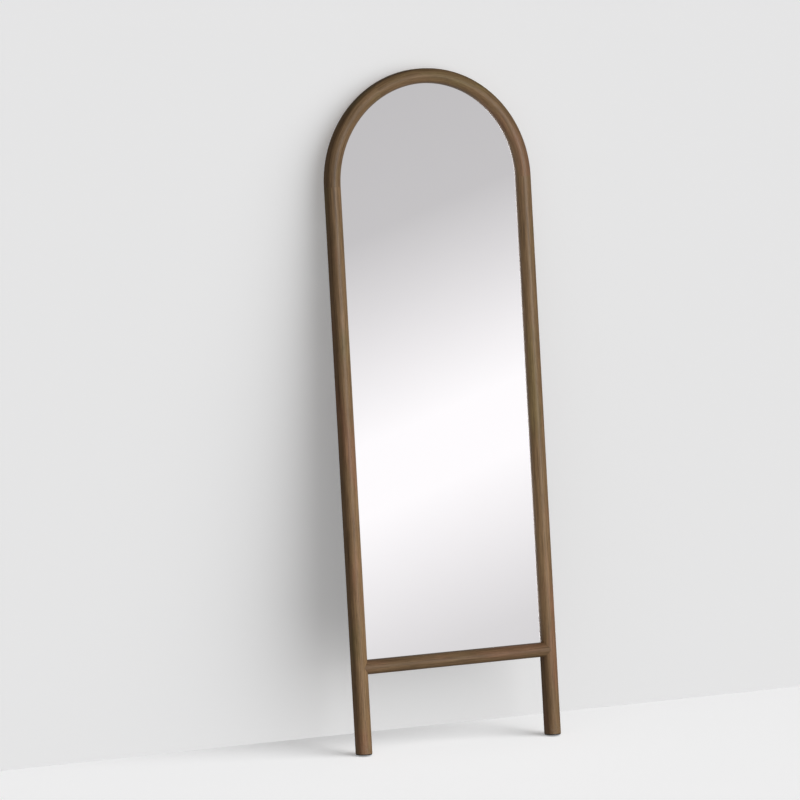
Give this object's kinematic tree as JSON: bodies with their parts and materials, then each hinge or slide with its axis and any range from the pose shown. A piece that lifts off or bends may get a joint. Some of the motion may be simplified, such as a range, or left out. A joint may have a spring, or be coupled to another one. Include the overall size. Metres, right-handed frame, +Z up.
{
  "type": "leaning floor mirror",
  "caption": "Full-length floor mirror with an arched top in a rounded walnut frame, two legs and a crossbar; it leans back against a wall and has hanging rings behind.",
  "frame": {"origin": "on the floor, at the middle of the footprint's bounding box: between the two legs, halfway from the front of the legs to the plane of the wall that the top leans on", "axes": "+Z up; -Y towards the person who looks into the glass; +Y towards the wall; +X to that person's right. The frame leans back by 7.3 degrees about X, as it is used"},
  "size_m": [0.61, 0.2779, 1.8167],
  "materials": {
    "walnut": "satin clear-coated mid-brown walnut, fine straight grain along each member",
    "beech_dowel": "plain fluted beech, unfinished",
    "mirror_glass": "polished float glass, silvered behind",
    "foam_tape": "closed-cell foam with adhesive faces",
    "back_board": "black-painted fibreboard, matte",
    "zinc_steel": "bright zinc-plated sheet and wire",
    "rubber": "soft matte black"
  },
  "bodies": {
    "frame": {"left_stile": "walnut", "right_stile": "walnut", "crossbar": "walnut", "arch_left": "walnut", "arch_crown": "walnut", "arch_right": "walnut", "arch_dowels": "beech_dowel", "crossbar_dowels": "beech_dowel", "mirror_glass": "mirror_glass", "mounting_tape": "foam_tape", "back_panel": "back_board", "panel_clips": "zinc_steel", "clip_screws": "zinc_steel", "left_hanger_plate": "zinc_steel", "right_hanger_plate": "zinc_steel", "hanger_screws": "zinc_steel", "wall_bumpers": "rubber", "left_foot_pad": "rubber", "right_foot_pad": "rubber"},
    "left_ring": {"left_hanger_ring": "zinc_steel"},
    "right_ring": {"right_hanger_ring": "zinc_steel"}
  },
  "joints": [
    {"name": "left_ring_swing", "type": "hinge", "parent": "frame", "child": "left_ring", "pos_m": [-0.2895, 0.06835, 1.28898], "axis": [1, 0, 0], "range_deg": [-5, 170]},
    {"name": "right_ring_swing", "type": "hinge", "parent": "frame", "child": "right_ring", "pos_m": [0.2895, 0.06835, 1.28898], "axis": [1, 0, 0], "range_deg": [-5, 170]}
  ]
}
